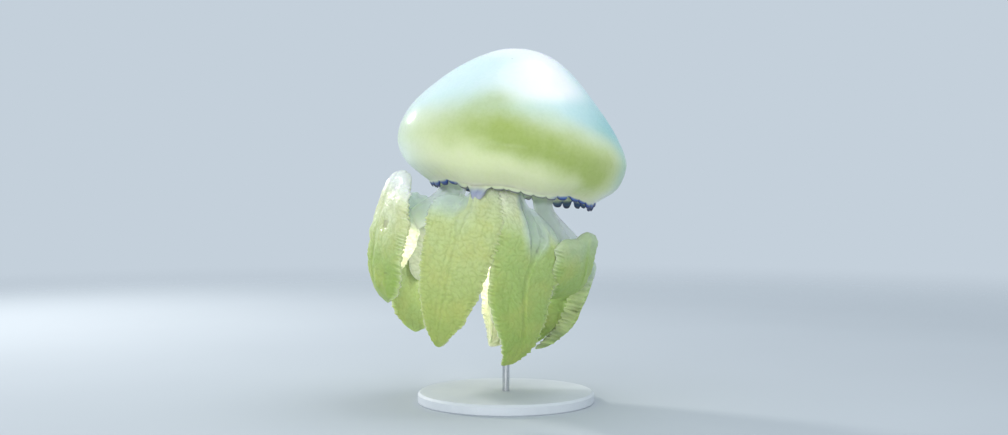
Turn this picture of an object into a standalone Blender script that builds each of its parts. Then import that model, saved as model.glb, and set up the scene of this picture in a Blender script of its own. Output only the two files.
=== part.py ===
"""Barrel jellyfish in mid-swim, life size, held on a plain display stand.

Metres, +Z up. The origin is the centre of the stand's underside and the animal faces -Y.
Sizes below are in millimetres and degrees. Bell pieces are built about the bell's own axis,
arm pieces about the arms' axis, and each group hangs from an empty that carries its tilt.
Azimuth is counted about an axis from the front (-Y) towards the right (+X).
"""
import math
from collections import namedtuple

import bmesh
import bpy
from mathutils import Matrix, Vector

MM = 0.001
GAP = 0.3

# Where the two axes stand: centre, roll to the right, and pitch back
BELL_CENTRE = (7.1, 4.0, 284.8)
BELL_ROLL = 8.0
ARMS_CENTRE = (-11.5, 0.0, 225.0)
ARMS_ROLL = 17.0
PITCH = 2.7

# Bell: outer and inner outlines as (radius, height above the widest circle)
BELL_SEGMENTS = 40
BELL_OUTER = (
    (0, 115.2), (30, 109), (60, 91.5), (92, 62),
    (118, 30), (130, 0), (121, -28), (96.5, -46.5),
)
BELL_INNER = ((92.5, -45.5), (112, -22), (112, 0), (98, 28), (74, 52), (55, 66))
OUTER_STEPS = 2
INNER_STEPS = 1
CROWN_RING = 4
SIDE_CUT = 0.16
FULL_FLANK = 5.0
RIM_SHIFT = 6.5
WAVE = 1.7
WAVE_TOP = -12.0

# Margin: eight octants of lappets, parted at the notches that hold the sense organs
OCTANTS = 8
FIRST_NOTCH = -50.0
NOTCH_HALF = 1.0
LAPPETS = 5
LAPPET_COLUMNS = 4
LAPPET_THICK = 1.6
LAPPET_DROP = 5.2
LAPPET_WEB = 1.6
LAPPET_TUCK = 0.35
LAPPET_CURL = 0.42
LAPPET_TAPER = 0.6
MARGIN_DROP = 0.5

# Mouth column: (depth below the arms' centre, radius), then (height in the bell, radius)
COLUMN_SEGMENTS = 20
COLUMN_LOW = ((-22, 64), (-30, 61), (-60, 50))
COLUMN_HIGH = ((40, 41), (56, 44), (65.7, 52))
COLUMN_LOBE = 0.12

# Oral arms: middle line's azimuth at shoulder and tip, share of the length where it turns from
# one to the other, length and wing tops as depths below the arms' centre, outer radius, inward
# set of the shoulder, half widths, fullness of both sides' tips, share of the width at the top,
# and share of the bare groove
ARM_NUMBERS = """
    shoulder tip turn length left_top right_top crest flare
    left_half right_half left_full right_full top bare
"""
Arm = namedtuple("Arm", ARM_NUMBERS)
ARMS = (
    Arm(-15, -10, 0.0, 167, 6, -18, 122, 38, 38, 44, 2.9, 2.6, 1.0, 0.5),
    Arm(27, 44, 0.42, 168, -18, -4, 122, 38, 44, 47, 4.0, 2.1, 1.0, 0.9),
    Arm(56, 74, 0.0, 86, 15, 2, 128, 2, 36, 41, 2.0, 1.6, 1.0, 0.35),
    Arm(98, 97, 0.0, 145, 28, 24, 131, 16, 22, 54, 5.0, 5.0, 0.8, 0.6),
    Arm(154, 154, 0.0, 162, 0, 0, 122, 8, 54, 41, 3.6, 2.2, 0.8, 0.8),
    Arm(-163, -164, 0.0, 174, 0, 0, 122, 8, 41, 40, 3.6, 3.6, 0.8, 0.8),
    Arm(-127, -146, 0.0, 171, 14, 14, 122, 8, 41, 34, 7.0, 7.0, 0.8, 0.8),
    Arm(-72, -70, 0.0, 141, -4, -3, 126, 6, 50, 64, 9.0, 10.0, 0.65, 0.6),
)
FIRST_ROOT = -24.0
ROOT_SPACING = 45.0
ROOT_DEPTH = -22.0 + GAP
SHOULDER_DEPTH = 20.0
STALK = ((-22, 36, 60, 9.0, 0.0), (-11, 44, 70, 4.5, 0.55), (6, 58, 97, 4.4, 1.0))
STALK_SAG = 34.0
STALK_WEDGE = 6.0
STALK_TO_ARM = 5.0
FLARE_END = (-14.0, 32.0)
LEVELS = (0.12, 0.20, 0.29, 0.39, 0.49, 0.59, 0.69, 0.78, 0.86, 0.925, 0.97)
WING_TOP_STEPS = (0.0, 3.0, 9.0)
WING_TOP_CLEAR = 14.0
WING_TOP_ROUND = (-4.0, 10.0)
WING_TOP_THICK = 0.5
WING_TOP_WIDE = 0.55
WING_TAPER = 0.8
WING_SPREAD = 50.0
WING_LOW_THIN = 0.6
TIP_INSET = 30.0
TIP_HALF = 2.0
WING_DEEP = 17.0
WING_SECTION = (
    (0.0, 7.0), (0.34, 0.5), (0.72, 0.0), (0.96, 4.5),
    (1.0, 9.5), (0.74, 14.0), (0.36, WING_DEEP), (0.0, WING_DEEP),
)
GROOVE_TOP = 5.4
GROOVE_LOW = 0.15
GROOVE_CLOSE = (14.0, 56.0)
GROOVE_MARGIN = 0.45
RIDGE_HALF = 0.6
RIDGE_DEPTH = (8.0, 17.6)
RIDGE_SINK = (10.0, 44.0)
INNER_WING = 3.4
INNER_WING_THIN = 0.5
INNER_WING_START = WING_DEEP + 2.0
INNER_WING_ROOT = 5.0
INNER_WING_EXTRA = 6.0
ARM_DEEP = 24.0
ARM_DEEP_EXTRA = 19.0
SHAFT_TIP_THIN = 0.6
TIP_RISE = 14.0
SECTOR_GAP = 0.5

# Scapulets: two frilled plates on the mouth column above each arm
SCAPULET_SPREAD = 9.0
SCAPULET_TOP = -62.0
SCAPULET_LOW = -23.0
SCAPULET_DEEP = 22.0
SCAPULET_HALF = 3.2
SCAPULET_NARROW = 0.55
SCAPULET_THIN = 0.6
SCAPULET_STATIONS = 4
SCAPULET_SECTION = ((0, -1), (0.6, -1.25), (1, -0.5), (1, 0.5), (0.6, 1.25), (0, 1))

# Stand
BASE_RADIUS = 100.0
BASE_THICK = 12.0
BASE_EDGE = 2.5
BASE_SEGMENTS = 40
ROD_RADIUS = 4.0
CUP_SEGMENTS = 20
CUP_RADIUS = 19.0
CUP_THICK = 5.0
CUP_DROP = 11.0
CUP_NECK = 7.0
CUP_NECK_LENGTH = 12.0
CUP_STEP = 1.0


def material(name, colour, roughness, metallic=0.0):
    """A Principled material of one plain finish."""
    made = bpy.data.materials.new(name)
    made.use_nodes = True
    shader = made.node_tree.nodes["Principled BSDF"]
    shader.inputs["Base Color"].default_value = (*colour, 1.0)
    shader.inputs["Roughness"].default_value = roughness
    shader.inputs["Metallic"].default_value = metallic
    made.diffuse_color = (*colour, 1.0)
    return made


def axis_empty(name, centre, roll, pitch):
    """An empty at an axis's centre, rolled to the right and pitched back."""
    empty = bpy.data.objects.new(name, None)
    bpy.context.scene.collection.objects.link(empty)
    turn = Matrix.Rotation(math.radians(roll), 4, "Y") @ Matrix.Rotation(math.radians(-pitch), 4, "X")
    empty.matrix_world = Matrix.Translation(Vector(centre) * MM) @ turn
    return empty


def loft(name, rings, finish, parent=None, first_pole=None, last_pole=None):
    """A closed body through rings of equal count, closed at each end by a pole or a flat cap."""
    form = bmesh.new()
    loops = [[form.verts.new(point) for point in ring] for ring in rings]
    count = len(loops[0])
    for near, far in zip(loops, loops[1:]):
        for i in range(count):
            j = (i + 1) % count
            form.faces.new((near[i], near[j], far[j], far[i]))
    for loop, pole in ((loops[0], first_pole), (loops[-1], last_pole)):
        if pole is None:
            form.faces.new(loop)
            continue
        tip = form.verts.new(pole)
        for i in range(count):
            form.faces.new((loop[i], loop[(i + 1) % count], tip))
    bmesh.ops.triangulate(form, faces=form.faces[:])
    bmesh.ops.recalc_face_normals(form, faces=form.faces[:])
    mesh = bpy.data.meshes.new(name)
    form.to_mesh(mesh)
    form.free()
    mesh.materials.append(finish)
    mesh.shade_smooth()
    mesh.set_sharp_from_angle(angle=math.radians(50))
    body = bpy.data.objects.new(name, mesh)
    bpy.context.scene.collection.objects.link(body)
    body.parent = parent
    return body


def polar(azimuth, radius, height):
    """A point about a local axis, in metres."""
    turn = math.radians(azimuth)
    return Vector((radius * math.sin(turn), -radius * math.cos(turn), height)) * MM


def smooth_path(points, steps):
    """A Catmull-Rom curve through (radius, height) points, with so many steps to each span."""
    ends = [2 * Vector(points[0]) - Vector(points[1]), 2 * Vector(points[-1]) - Vector(points[-2])]
    chain = [ends[0]] + [Vector(point) for point in points] + [ends[1]]
    path = []
    for before, start, stop, after in zip(chain, chain[1:], chain[2:], chain[3:]):
        for step in range(steps):
            t = step / steps
            bend = 2 * before - 5 * start + 4 * stop - after
            twist = 3 * start - before - 3 * stop + after
            path.append(0.5 * (2 * start + (stop - before) * t + bend * t ** 2 + twist * t ** 3))
    return path + [chain[-2]]


def ramp(value, low, high):
    """Smooth rise from 0 at low to 1 at high."""
    share = min(1.0, max(0.0, (value - low) / (high - low)))
    return share * share * (3 - 2 * share)


def between(table, value, column):
    """Straight interpolation in a table whose first column rises."""
    for low, high in zip(table, table[1:]):
        if value <= high[0]:
            share = max(0.0, (value - low[0]) / (high[0] - low[0]))
            return low[column] + share * (high[column] - low[column])
    return table[-1][column]


# ---------------------------------------------------------------- bell and margin

def bell_lean(height):
    """Sideways shift of the bell's circles: fuller left flank above, rim drawn to the right."""
    if height < 0:
        return RIM_SHIFT * (height / BELL_OUTER[-1][1]) ** 2
    return -FULL_FLANK * math.sin(math.pi * height / BELL_OUTER[0][1])


def bell_point(azimuth, radius, height):
    """A point of the bell: its circles lean, and its free edge rises at the eight notches."""
    share = ramp(-height, -WAVE_TOP, -BELL_OUTER[-1][1])
    lift = WAVE * share * math.cos(math.radians(OCTANTS * (azimuth - FIRST_NOTCH)))
    point = polar(azimuth, radius, height + lift)
    point.x += bell_lean(height) * MM
    return point


def circle(place, radius, height, segments):
    """One ring of points, placed by a point function."""
    return [place(360.0 * i / segments, radius, height) for i in range(segments)]


def make_bell(finish, parent):
    """Thick dome over a hollow, parted into a crown and eight sides at the margin's notches."""
    outline = smooth_path(BELL_OUTER, OUTER_STEPS)
    hollow = smooth_path(BELL_INNER, INNER_STEPS)
    cut = [outline[CROWN_RING], hollow[-1]]
    rings = []
    for radius, height in outline[1:CROWN_RING] + [edge - Vector((GAP / 2, 0)) for edge in cut]:
        turns = [FIRST_NOTCH + 360.0 * i / BELL_SEGMENTS for i in range(BELL_SEGMENTS)]
        rings.append([bell_point(turn, radius, height) for turn in turns])
    top = bell_point(0, 0, BELL_OUTER[0][1])
    ceiling = bell_point(0, 0, BELL_INNER[-1][1])
    loft("bell_crown", rings, finish, parent, top, ceiling)

    outer_cut, inner_cut = [edge + Vector((GAP / 2, 0)) for edge in cut]
    section = [outer_cut] + outline[CROWN_RING + 1:] + hollow[:-1] + [inner_cut]
    columns = BELL_SEGMENTS // OCTANTS
    for octant in range(OCTANTS):
        start = FIRST_NOTCH + octant * 360.0 / OCTANTS + SIDE_CUT
        span = 360.0 / OCTANTS - 2 * SIDE_CUT
        turns = [start + span * column / columns for column in range(columns + 1)]
        rings = [[bell_point(turn, radius, height) for radius, height in section] for turn in turns]
        loft(f"bell_side_{octant + 1}", rings, finish, parent)


def lappet_drop(azimuth, octant, lappet, share):
    """How far the margin hangs: rounded lappets, shorter at the front where they curl under."""
    curl = 1.0 - LAPPET_CURL * math.cos(math.radians(azimuth))
    size = 1.0 + 0.3 * math.sin(2.1 * octant + 1.9 * lappet - 0.9)
    return LAPPET_WEB + LAPPET_DROP * curl * size * math.sin(math.pi * share) ** 0.8


def make_margin(octant, finish, parent):
    """One octant of the margin, a thin strip with rounded lappets under the bell's free edge."""
    start = FIRST_NOTCH + octant * 360.0 / OCTANTS + NOTCH_HALF
    span = 360.0 / OCTANTS - 2 * NOTCH_HALF
    edge_radius = (BELL_OUTER[-1][0] + BELL_INNER[0][0]) / 2
    top = BELL_OUTER[-1][1] - MARGIN_DROP
    columns = LAPPETS * LAPPET_COLUMNS
    rings = []
    for column in range(columns + 1):
        azimuth = start + span * column / columns
        lappet, share = divmod(column / LAPPET_COLUMNS, 1.0)
        drop = lappet_drop(azimuth, octant, lappet, share)
        half = LAPPET_THICK / 2
        low_half = half * LAPPET_TAPER
        low_radius = edge_radius - LAPPET_TUCK * drop
        rings.append([
            bell_point(azimuth, edge_radius + half, top),
            bell_point(azimuth, low_radius + low_half, top - drop),
            bell_point(azimuth, low_radius - low_half, top - drop),
            bell_point(azimuth, edge_radius - half, top),
        ])
    return loft(f"margin_{octant + 1}", rings, finish, parent)


# ---------------------------------------------------------------- mouth column and scapulets

def root_azimuth(index):
    """Where an arm leaves the mouth column."""
    return FIRST_ROOT + ROOT_SPACING * index


def column_radius(azimuth, radius, lobe):
    """The column is fluted into four pillars between the four pits under the bell."""
    return radius * (1 + lobe * math.cos(math.radians(4 * azimuth)))


def make_column(finish, arms, bell):
    """Mouth column, from the flat seat over the arms up to the bell's ceiling."""
    to_arms = arms.matrix_world.inverted() @ bell.matrix_world
    rings = []
    for depth, radius in COLUMN_LOW:
        rings.append(circle(polar, radius, -depth, COLUMN_SEGMENTS))
    for height, radius in COLUMN_HIGH:
        ring = []
        for i in range(COLUMN_SEGMENTS):
            azimuth = 360.0 * i / COLUMN_SEGMENTS
            lobe = COLUMN_LOBE if height < COLUMN_HIGH[-1][0] else 0.0
            ring.append(to_arms @ bell_point(azimuth, column_radius(azimuth, radius, lobe), height))
        rings.append(ring)
    return loft("mouth_column", rings, finish, arms)


def make_scapulet(number, azimuth, finish, parent):
    """A leaf-shaped plate that stands out from the mouth column."""
    column = sorted(COLUMN_LOW)
    rings = []
    for station in range(SCAPULET_STATIONS):
        share = station / (SCAPULET_STATIONS - 1)
        depth = SCAPULET_TOP + share * (SCAPULET_LOW - SCAPULET_TOP)
        inner = between(column, depth, 1) + 2 * GAP
        bulge = math.sin(math.pi * share)
        deep = SCAPULET_DEEP * (SCAPULET_NARROW + (1 - SCAPULET_NARROW) * bulge)
        half = SCAPULET_HALF * (SCAPULET_THIN + (1 - SCAPULET_THIN) * bulge)
        ring = []
        for out, side in SCAPULET_SECTION:
            radius = inner + out * deep
            turn = azimuth + math.degrees(side * half / radius)
            ring.append(polar(turn, radius, -depth))
        rings.append(ring)
    return loft(f"scapulet_{number}", rings, finish, parent)


# ---------------------------------------------------------------- oral arms

def nearest_turn(angle, reference):
    """The same direction, counted within half a turn of a reference."""
    return reference + (angle - reference + 180.0) % 360.0 - 180.0


def arm_azimuth(index, depth):
    """An arm's middle line: from its root to its shoulder, then on to its tip."""
    arm = ARMS[index % len(ARMS)]
    root = root_azimuth(index)
    shoulder = nearest_turn(arm.shoulder, root)
    tip = nearest_turn(arm.tip, shoulder)
    to_shoulder = ramp(depth, ROOT_DEPTH, SHOULDER_DEPTH)
    to_tip = ramp(depth, arm.length * arm.turn, arm.length)
    return root + to_shoulder * (shoulder - root) + to_tip * (tip - shoulder)


def crest_radius(arm, depth):
    """Outer radius of an arm: set in at the shoulder, level, then drawn in at the tip."""
    flare = arm.flare * (1 - ramp(depth, *FLARE_END))
    return arm.crest - flare - TIP_INSET * (max(depth, 0.0) / arm.length) ** 6


def groove(arm, depth):
    """Half angle of the bare groove between an arm's two outer wings."""
    return GROOVE_LOW + (GROOVE_TOP * arm.bare - GROOVE_LOW) * (1 - ramp(depth, *GROOVE_CLOSE))


def reach(index, side, depth):
    """Angle from an arm's middle line to the free edge of one wing, kept inside its sector."""
    arm = ARMS[index]
    own = arm_azimuth(index, depth)
    other = nearest_turn(arm_azimuth(index + side, depth), own + side * ROOT_SPACING)
    room = abs(other - own) / 2 - SECTOR_GAP
    half, full = (arm.left_half, arm.left_full) if side < 0 else (arm.right_half, arm.right_full)
    share = max(depth, 0.0) / arm.length
    width = half * (1 - share ** full) ** WING_TAPER + TIP_HALF
    return min(room, math.degrees(width / crest_radius(arm, depth)))


def make_wing(index, side, finish, parent):
    """One outer wing: a thick curved leaf from the groove to its free edge."""
    arm = ARMS[index]
    top = arm.left_top if side < 0 else arm.right_top
    depths = [top + step for step in WING_TOP_STEPS]
    depths += [arm.length * level for level in LEVELS if arm.length * level > top + WING_TOP_CLEAR]
    rings = []
    for depth in depths:
        crest = crest_radius(arm, depth)
        start = groove(arm, depth)
        rounded = WING_TOP_THICK + (1 - WING_TOP_THICK) * ramp(depth - top, *WING_TOP_ROUND)
        thin = (1 - WING_LOW_THIN * (max(depth, 0.0) / arm.length) ** 3) * rounded
        spread = arm.top + (1 - arm.top) * ramp(depth - top, 0.0, WING_SPREAD)
        wide = WING_TOP_WIDE + (1 - WING_TOP_WIDE) * rounded
        span = (reach(index, side, depth) - start) * wide * spread
        ring = []
        middle = WING_DEEP / 2
        for along, inward in WING_SECTION:
            radius = crest - middle - (inward - middle) * thin
            turn = arm_azimuth(index, depth) + side * (start + span * along)
            ring.append(polar(turn, radius, -depth))
        rings.append(ring)
    label = "left" if side < 0 else "right"
    return loft(f"arm_{index + 1}_wing_{label}", rings, finish, parent)


def stalk_sections(index):
    """The stalk's levels, as depth and half section; it sags on the side where the bell dips."""
    arm = ARMS[index]
    sag = STALK_SAG * (1 - math.sin(math.radians(arm.shoulder))) / 2
    sections = []
    for depth, inner, outer, half, share in STALK:
        low = max(depth + sag * share, ROOT_DEPTH)
        half *= arm.bare if share == 1.0 else 1.0
        middle = (outer + inner) / 2
        section = [(half, outer), (half, middle), (half, inner + STALK_WEDGE), (half / 2, inner)]
        sections.append((low, section))
    return sections


def make_shaft(index, finish, parent):
    """The arm's clear core: stalk, ridge between the outer wings, and the inner wing behind."""
    arm = ARMS[index]
    sections = stalk_sections(index)
    clear = sections[-1][0] + STALK_TO_ARM
    levels = [arm.length * level for level in LEVELS if arm.length * level > clear]
    for depth in levels + [arm.length]:
        share = depth / arm.length
        crest = crest_radius(arm, depth)
        half = max(groove(arm, depth) - GROOVE_MARGIN, RIDGE_HALF)
        sink = RIDGE_DEPTH[0] + (RIDGE_DEPTH[1] - RIDGE_DEPTH[0]) * ramp(depth, *RIDGE_SINK)
        deep = ARM_DEEP + ARM_DEEP_EXTRA * math.sin(math.pi * share ** 0.8)
        tip = 1 - SHAFT_TIP_THIN * share ** 4
        inner_wing = max(half, INNER_WING * (1 - INNER_WING_THIN * share ** 3))
        back = crest - INNER_WING_START
        reach_in = deep - INNER_WING_START + INNER_WING_EXTRA
        sections.append((depth, [
            (half * tip, crest - sink),
            (half * tip, back),
            (inner_wing * tip, back - INNER_WING_ROOT * tip),
            (inner_wing * tip / 2, back - reach_in * tip),
        ]))
    loops = []
    for depth, section in sections:
        middle = arm_azimuth(index, depth)
        rise = TIP_RISE * (max(depth, 0.0) / arm.length) ** 6 / ARM_DEEP
        outer = section[0][1]
        right = [(middle + turn, radius) for turn, radius in section]
        left = [(middle - turn, radius) for turn, radius in section[::-1]]
        loops.append([
            polar(turn, radius, rise * (outer - radius) - depth) for turn, radius in right + left
        ])
    return loft(f"arm_{index + 1}_shaft", loops, finish, parent)


# ---------------------------------------------------------------- stand

def make_base(finish):
    """Flat round base with a softened edge."""
    low = [(BASE_RADIUS - BASE_EDGE / 2, 0), (BASE_RADIUS, BASE_EDGE / 2)]
    high = [(BASE_RADIUS, BASE_THICK - BASE_EDGE), (BASE_RADIUS - BASE_EDGE, BASE_THICK)]
    rings = [circle(polar, radius, height, BASE_SEGMENTS) for radius, height in low + high]
    return loft("stand_base", rings, finish)


def seat_ring(seat, normal, radius, drop):
    """A ring that lies parallel to the tilted seat, so far below it."""
    ring = []
    for flat in circle(polar, radius, 0, CUP_SEGMENTS):
        tilt = (flat.x * normal.x + flat.y * normal.y) / normal.z
        ring.append(seat + flat - Vector((0, 0, tilt + drop * MM)))
    return ring


def make_rod(finish, arms):
    """Upright rod that widens into the cup that meets the mouth column's underside."""
    normal = (arms.matrix_world.to_3x3() @ Vector((0, 0, 1))).normalized()
    on_seat = arms.matrix_world @ Vector((0, 0, -ROOT_DEPTH * MM))
    height = on_seat.z + (on_seat.x * normal.x + on_seat.y * normal.y) / normal.z
    seat = Vector((0, 0, height))
    neck_top = height / MM - CUP_DROP
    neck_low = neck_top - CUP_NECK_LENGTH
    rings = [
        circle(polar, ROD_RADIUS, BASE_THICK + GAP, CUP_SEGMENTS),
        circle(polar, ROD_RADIUS, neck_low, CUP_SEGMENTS),
        circle(polar, CUP_NECK, neck_low + CUP_STEP, CUP_SEGMENTS),
        circle(polar, CUP_NECK, neck_top, CUP_SEGMENTS),
        seat_ring(seat, normal, CUP_RADIUS, CUP_THICK / 2),
        seat_ring(seat, normal, CUP_RADIUS, GAP),
    ]
    loft("stand_rod", rings, finish)


def build():
    """Clear the scene and make every piece."""
    for old in list(bpy.data.objects):
        bpy.data.objects.remove(old, do_unlink=True)
    jelly = material("bell_jelly", (0.80, 0.88, 0.80), 0.25)
    violet = material("margin_violet", (0.16, 0.14, 0.36), 0.35)
    column = material("column_jelly", (0.62, 0.74, 0.62), 0.3)
    core = material("arm_jelly", (0.55, 0.70, 0.58), 0.3)
    frill = material("arm_frill", (0.52, 0.62, 0.26), 0.55)
    steel = material("stand_steel", (0.60, 0.61, 0.63), 0.3, 1.0)
    lacquer = material("stand_lacquer", (0.75, 0.77, 0.79), 0.4)

    bell = axis_empty("bell_axis", BELL_CENTRE, BELL_ROLL, PITCH)
    arms = axis_empty("arms_axis", ARMS_CENTRE, ARMS_ROLL, PITCH)
    bpy.context.view_layer.update()

    make_bell(jelly, bell)
    for octant in range(OCTANTS):
        make_margin(octant, violet, bell)
    make_column(column, arms, bell)
    for index in range(len(ARMS)):
        for pair, side in enumerate((-1, 1)):
            azimuth = root_azimuth(index) + side * SCAPULET_SPREAD
            make_scapulet(2 * index + pair + 1, azimuth, frill, arms)
            make_wing(index, side, frill, arms)
        make_shaft(index, core, arms)
    make_base(lacquer)
    make_rod(steel, arms)


build()
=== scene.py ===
"""Looks of the life-size barrel jellyfish: one skin, frilled arms, and the stand.

Sizes are in millimetres and degrees, in the same two tilted frames as the CAD part: the bell's and
the arms'. Azimuth is counted about an axis from the front (-Y) towards the right (+X).
"""

import math

import bmesh
import bpy
import numpy as np
from mathutils import Matrix, Vector
from mathutils.kdtree import KDTree


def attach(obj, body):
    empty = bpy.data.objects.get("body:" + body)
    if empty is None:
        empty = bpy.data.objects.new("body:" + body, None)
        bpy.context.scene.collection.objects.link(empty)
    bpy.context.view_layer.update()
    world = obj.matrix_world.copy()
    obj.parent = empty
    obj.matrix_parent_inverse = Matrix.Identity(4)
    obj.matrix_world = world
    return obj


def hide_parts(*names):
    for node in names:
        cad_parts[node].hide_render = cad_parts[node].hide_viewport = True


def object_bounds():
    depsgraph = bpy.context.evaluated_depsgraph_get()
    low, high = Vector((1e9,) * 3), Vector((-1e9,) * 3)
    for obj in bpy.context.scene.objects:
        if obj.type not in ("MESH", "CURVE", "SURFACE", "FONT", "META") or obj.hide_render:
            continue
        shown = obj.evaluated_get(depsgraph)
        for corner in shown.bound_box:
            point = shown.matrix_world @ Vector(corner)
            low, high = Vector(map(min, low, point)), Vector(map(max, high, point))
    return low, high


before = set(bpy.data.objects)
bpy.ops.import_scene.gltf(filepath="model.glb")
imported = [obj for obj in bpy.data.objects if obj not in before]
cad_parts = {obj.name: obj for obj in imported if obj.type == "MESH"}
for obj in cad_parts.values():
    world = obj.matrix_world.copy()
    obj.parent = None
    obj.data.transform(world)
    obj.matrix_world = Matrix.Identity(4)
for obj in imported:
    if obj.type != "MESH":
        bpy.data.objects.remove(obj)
cad_low, cad_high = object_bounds()

MM = 0.001
TURN = 2 * math.pi

# ---- the part's own sizes

BELL_CENTRE = (7.1, 4.0, 284.8)
BELL_ROLL = 8.0
ARMS_CENTRE = (-11.5, 0.0, 225.0)
ARMS_ROLL = 17.0
PITCH = 2.7

BELL_OUTER = (
    (0, 115.2), (30, 109), (60, 91.5), (92, 62),
    (118, 30), (130, 0), (121, -28), (96.5, -46.5),
)
BELL_INNER = ((92.5, -45.5), (112, -22), (112, 0), (98, 28), (74, 52), (55, 66))
BELL_TOP = 115.2
RIM_HEIGHT = -46.5
FULL_FLANK = 5.0
RIM_SHIFT = 6.5
WAVE = 1.7
WAVE_TOP = -12.0

OCTANTS = 8
FIRST_NOTCH = -50.0
NOTCH_HALF = 1.0
LAPPETS = 5
LAPPET_DROP = 5.2
LAPPET_WEB = 1.6
LAPPET_CURL = 0.42

COLUMN_LOW = ((-22, 64), (-30, 61), (-60, 50))
COLUMN_HIGH = ((40, 41), (56, 44), (65.7, 52))
COLUMN_LOBE = 0.12
COLUMN_TURNS = 72

# shoulder and tip azimuth, share of the length where it turns, length, wing tops, outer radius,
# inward set, half widths, fullness of the tip on each side, share of the width at the top,
# share of the bare groove
ARMS = (
    (-15, -10, 0.0, 167, 6, -18, 122, 38, 38, 44, 2.9, 2.6, 1.0, 0.5),
    (27, 44, 0.42, 168, -18, -4, 122, 38, 44, 47, 4.0, 2.1, 1.0, 0.9),
    (56, 74, 0.0, 86, 15, 2, 128, 2, 36, 41, 4.0, 1.6, 1.0, 0.35),
    (98, 97, 0.0, 145, 28, 24, 131, 16, 22, 54, 5.0, 5.0, 0.8, 0.6),
    (154, 149, 0.75, 162, 0, 0, 122, 8, 54, 48, 3.6, 2.6, 0.8, 0.8),
    (-163, -164, 0.0, 174, 0, 0, 122, 8, 41, 40, 3.6, 3.6, 0.8, 0.8),
    (-127, -146, 0.0, 171, 14, 14, 122, 8, 41, 34, 7.0, 12.0, 0.8, 0.8),
    (-72, -70, 0.0, 141, -4, -3, 126, 6, 50, 64, 9.0, 10.0, 0.65, 0.45),
)
(SHOULDER, TIP, BEND, LENGTH, LEFT_TOP, RIGHT_TOP, CREST, FLARE,
 LEFT_HALF, RIGHT_HALF, LEFT_FULL, RIGHT_FULL, TOP_SHARE, BARE) = range(14)
FIRST_ROOT = -24.0
ROOT_SPACING = 45.0
ROOT_DEPTH = -21.7
SHOULDER_DEPTH = 20.0
STALK = ((-22, 36, 60, 9.0, 0.0), (-11, 44, 70, 4.5, 0.55), (6, 58, 97, 4.4, 1.0))
STALK_SAG = 34.0
WING_DEEP = 17.0
WING_SPREAD = 50.0
TIP_INSET = 30.0
TIP_HALF = 2.0
GROOVE_TOP = 5.4
GROOVE_LOW = 0.15
GROOVE_CLOSE = (14.0, 56.0)
RIDGE_HALF = 0.6
RIDGE_SINK = (10.0, 44.0)
INNER_WING = 3.4
ARM_DEEP = 24.0
ARM_DEEP_EXTRA = 19.0
TIP_RISE = 14.0
SECTOR_GAP = 0.5

# ---- small tools


def axis_matrix(centre, roll):
    turn = Matrix.Rotation(math.radians(roll), 4, "Y") @ Matrix.Rotation(math.radians(-PITCH), 4, "X")
    return np.array(Matrix.Translation(Vector(centre)) @ turn)


BELL = axis_matrix(BELL_CENTRE, BELL_ROLL)
ARMS_AXIS = axis_matrix(ARMS_CENTRE, ARMS_ROLL)


def to_world(points, matrix):
    """Local millimetres to world metres."""
    return (points @ matrix[:3, :3].T + matrix[:3, 3]) * MM


def in_arms(points):
    return to_world(points, ARMS_AXIS)


def polar(azimuth, radius, height):
    turn = np.radians(azimuth)
    return np.stack(np.broadcast_arrays(radius * np.sin(turn), -radius * np.cos(turn), height), -1)


def ramp(value, low, high):
    share = np.clip((value - low) / (high - low), 0.0, 1.0)
    return share * share * (3 - 2 * share)


def hill(value, centre, width):
    return np.exp(-((value - centre) / width) ** 2)


def spline(a, b, c, d, t):
    """The Catmull-Rom curve between b and c."""
    return 0.5 * (2 * b + (c - a) * t + (2 * a - 5 * b + 4 * c - d) * t ** 2
                  + (3 * b - a - 3 * c + d) * t ** 3)


def smooth_path(points, steps):
    """A Catmull-Rom curve through points, with so many steps to each span."""
    points = np.array(points, float)
    chain = np.vstack([2 * points[:1] - points[1:2], points, 2 * points[-1:] - points[-2:-1]])
    t = np.linspace(0, 1, steps, endpoint=False)[:, None]
    path = [spline(*four, t) for four in zip(chain, chain[1:], chain[2:], chain[3:])]
    return np.vstack(path + [points[-1:]])


def closed_path(points, count):
    """A closed Catmull-Rom curve through points, sampled evenly by its own parameter."""
    points = np.array(points, float)
    size = len(points)
    place = np.linspace(0, size, count, endpoint=False)
    index = place.astype(int)
    t = (place - index)[:, None]
    return spline(*(points[(index + k) % size] for k in (-1, 0, 1, 2)), t)


# ---- fields for folds and frills

CELL = 0.55
FIELD = 512


def frequencies():
    line = np.fft.fftfreq(FIELD) * TURN
    return line[:, None], line[None, :]


def shaped_noise(weight, seed):
    """A periodic field of noise from about -1 to 1, with its waves weighted."""
    field = np.random.default_rng(seed).standard_normal((FIELD, FIELD))
    field = np.fft.ifft2(np.fft.fft2(field) * weight).real
    return field / (2.2 * field.std())


def soft_noise(wave_x, wave_y, seed):
    """Soft blotches of about the given sizes in mm."""
    ky, kx = frequencies()
    return shaped_noise(np.exp(-((kx * wave_x) ** 2 + (ky * wave_y) ** 2) / (CELL * 4) ** 2), seed)


def lumps(wave_x, wave_y, seed):
    """Rounded lumps parted by narrow valleys, from 0 in a valley to 1 on a lump."""
    ky, kx = frequencies()
    pitch = np.hypot(kx * wave_x, ky * wave_y) / (TURN * CELL)
    return ramp(np.abs(shaped_noise(np.exp(-((pitch - 1) / 0.45) ** 2), seed)), 0.0, 0.65)


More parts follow.
